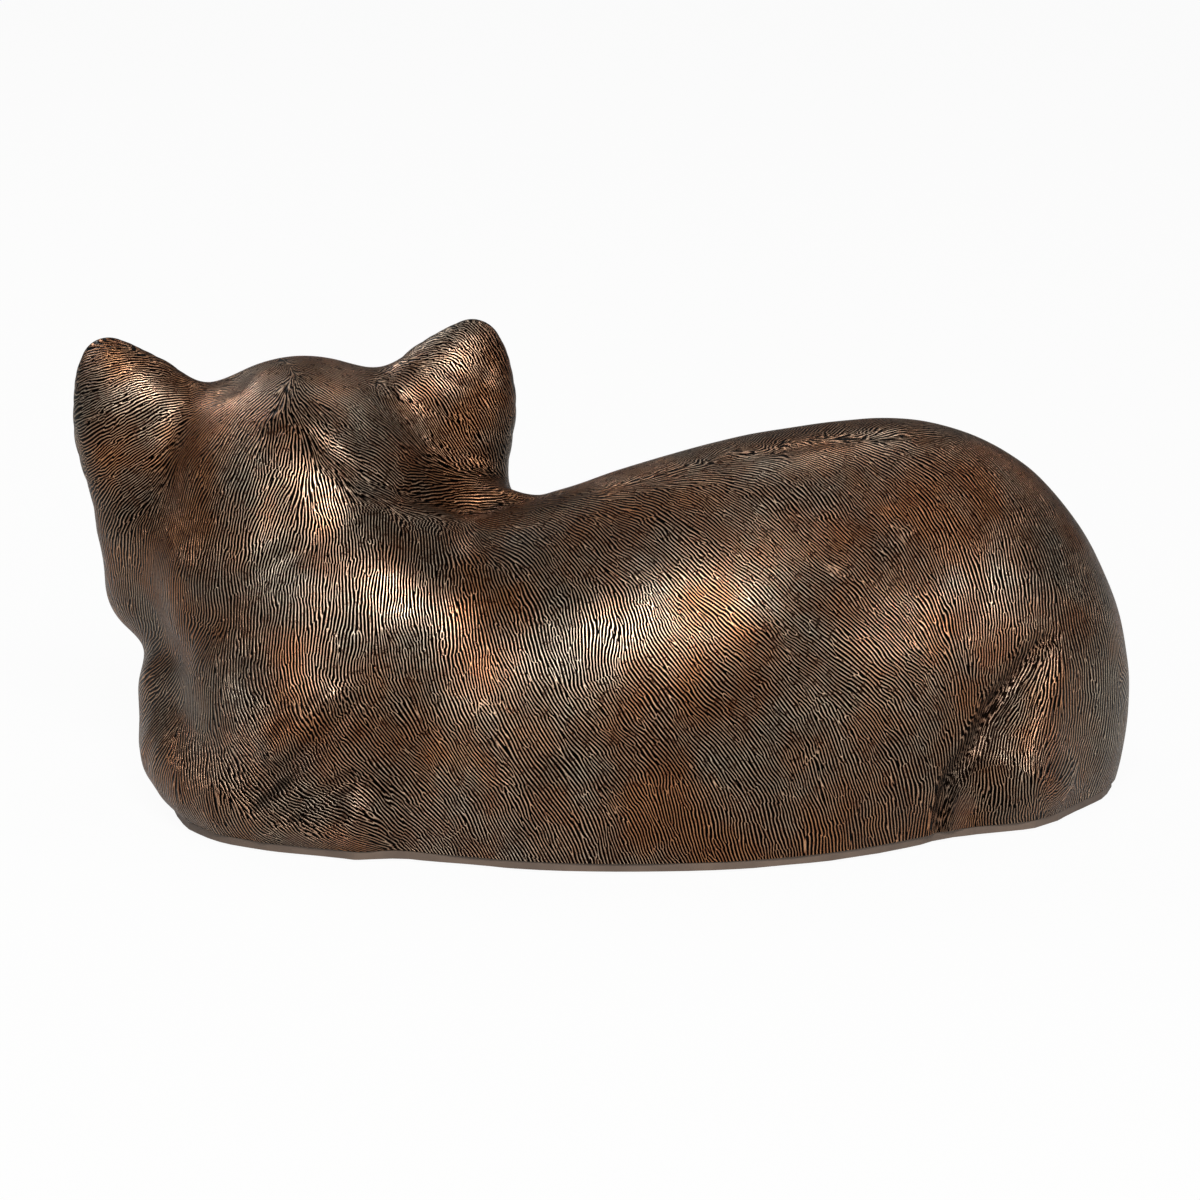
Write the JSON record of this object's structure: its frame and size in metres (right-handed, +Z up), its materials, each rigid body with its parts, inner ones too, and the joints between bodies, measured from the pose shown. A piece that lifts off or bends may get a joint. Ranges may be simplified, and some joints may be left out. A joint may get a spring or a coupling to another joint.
{
  "type": "cat garden statue",
  "caption": "Hollow cast-resin statue of a cat lying with its head up and turned, in an antique bronze finish, on a closing plate with rubber pads.",
  "frame": {"origin": "on the ground, under the middle of the statue's box", "axes": "+Z up, X along the lying body with the rump at +X and the head at -X, +Y the way the cat looks"},
  "size_m": [0.4016, 0.1978, 0.1821],
  "materials": {
    "bronze_resin": "antique bronze effect: dark brown, black in the fur grooves, copper and gold rubbed on the ridges, satin wax",
    "plate_resin": "smooth, grey-brown, satin",
    "rubber": "black, matt"
  },
  "bodies": {
    "root": {"body_casting": "bronze_resin", "head_casting": "bronze_resin", "base_plate": "plate_resin", "vent_plug": "rubber", "pad_1": "rubber", "pad_2": "rubber", "pad_3": "rubber", "pad_4": "rubber"}
  },
  "joints": []
}
